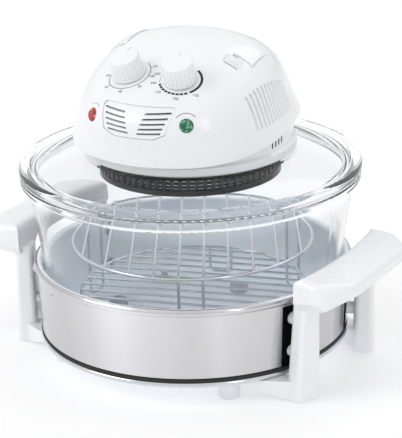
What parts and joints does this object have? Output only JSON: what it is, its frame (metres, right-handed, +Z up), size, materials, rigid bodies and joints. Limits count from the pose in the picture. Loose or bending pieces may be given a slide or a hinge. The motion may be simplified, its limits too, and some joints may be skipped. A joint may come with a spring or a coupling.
{
  "type": "halogen oven",
  "caption": "Countertop halogen oven: glass bowl in a polished steel pan with moulded side handles, wire racks, and a lift-off glass lid with fan, lamp, timer, thermostat and carry handle.",
  "frame": {"origin": "on the ground, on the bowl's axis, midway between the two handles", "axes": "+Z up, +X from the left handle to the right handle, front (the dials' side) towards -Y; the lid sits 4 degrees round from square"},
  "size_m": [0.399, 0.322, 0.3078],
  "materials": {
    "polished_steel": "mirror polished stainless steel sheet",
    "chrome_wire": "bright chrome plate",
    "black_rubber": "matt black rubber",
    "zinc_steel": "plain plated steel",
    "white_plastic": "glossy white moulded plastic",
    "clear_glass": "clear borosilicate glass",
    "white_silicone": "pale silicone",
    "black_enamel": "satin black stove enamel",
    "bright_aluminium": "bright rolled aluminium",
    "mineral_board": "pressed mineral fibre board",
    "quartz_glass": "clear quartz tube",
    "tungsten": "dull coiled wire",
    "white_ceramic": "unglazed ceramic",
    "brass_nut": "turned brass",
    "dark_plastic": "matt black moulding",
    "red_lens": "clear red plastic",
    "green_lens": "clear green plastic"
  },
  "bodies": {
    "base": {"steel_pan": "polished_steel", "bottom_trim_ring": "chrome_wire", "band_gasket": "black_rubber", "band_rivets": "zinc_steel", "bowl_pads": "black_rubber", "foot_back_right": "white_plastic", "foot_back_left": "white_plastic", "foot_front_left": "white_plastic", "foot_front_right": "white_plastic", "foot_screws": "zinc_steel", "foot_nuts": "zinc_steel", "right_handle": "white_plastic", "left_handle": "white_plastic", "handle_screws": "zinc_steel"},
    "bowl": {"glass_bowl": "clear_glass"},
    "low_rack_body": {"low_rack": "chrome_wire"},
    "high_rack_body": {"high_rack": "chrome_wire"},
    "lid": {"glass_lid": "clear_glass", "lid_gasket": "white_silicone", "fan_skirt": "black_enamel", "heater_guard": "chrome_wire", "reflector_plate": "bright_aluminium", "insulation_board": "mineral_board", "halogen_lamp": "quartz_glass", "lamp_filament": "tungsten", "lamp_holders": "white_ceramic", "lamp_clips": "zinc_steel", "motor": "zinc_steel", "motor_bracket": "zinc_steel", "head_collar": "white_plastic", "head_shell": "white_plastic", "head_screws": "zinc_steel", "vent_grille": "white_plastic", "power_lens": "red_lens", "heat_lens": "green_lens", "pilot_lamps": "dark_plastic", "timer": "dark_plastic", "thermostat": "dark_plastic", "bushing_nuts": "brass_nut", "handle_pins": "zinc_steel", "safety_switch": "dark_plastic", "cord_gland": "dark_plastic", "terminal_block": "white_ceramic", "thermal_fuse": "bright_aluminium"},
    "strap": {"carry_handle": "white_plastic"},
    "timer_dial": {"timer_knob": "white_plastic", "timer_spindle": "zinc_steel"},
    "thermostat_dial": {"thermostat_knob": "white_plastic", "thermostat_spindle": "zinc_steel"},
    "rotor": {"motor_shaft": "zinc_steel", "convection_fan": "bright_aluminium", "shaft_nut": "brass_nut", "cooling_fan": "dark_plastic"},
    "lock_button": {"release_button": "white_plastic"}
  },
  "joints": [
    {"name": "bowl_lift", "type": "slide", "parent": "base", "child": "bowl", "axis": [0, 0, 1], "range_m": [0, 0.1]},
    {"name": "low_rack_lift", "type": "slide", "parent": "bowl", "child": "low_rack_body", "axis": [0, 0, 1], "range_m": [0, 0.16]},
    {"name": "high_rack_lift", "type": "slide", "parent": "low_rack_body", "child": "high_rack_body", "axis": [0, 0, 1], "range_m": [0, 0.16]},
    {"name": "lid_lift", "type": "slide", "parent": "high_rack_body", "child": "lid", "axis": [0, 0, 1], "range_m": [0, 0.15]},
    {"name": "strap_pivot", "type": "hinge", "parent": "lid", "child": "strap", "pos_m": [0.00077, -0.01097, 0.2945], "axis": [0.9976, 0.0698, 0], "range_deg": [0, 90]},
    {"name": "timer_turn", "type": "hinge", "parent": "lid", "child": "timer_dial", "pos_m": [-0.02114, -0.06614, 0.2833], "axis": [-0.0361, -0.4131, 0.91], "range_deg": [-300, 0]},
    {"name": "thermostat_turn", "type": "hinge", "parent": "lid", "child": "thermostat_dial", "pos_m": [0.03014, -0.06255, 0.2833], "axis": [0.0933, -0.4041, 0.91], "range_deg": [-270, 0]},
    {"name": "fan_spin", "type": "hinge", "parent": "lid", "child": "rotor", "pos_m": [0, 0, 0.2], "axis": [0, 0, 1], "continuous": true},
    {"name": "lock_press", "type": "slide", "parent": "lid", "child": "lock_button", "axis": [0, 0, -1], "range_m": [0, 0.002], "stiffness_N_per_m": 400}
  ]
}
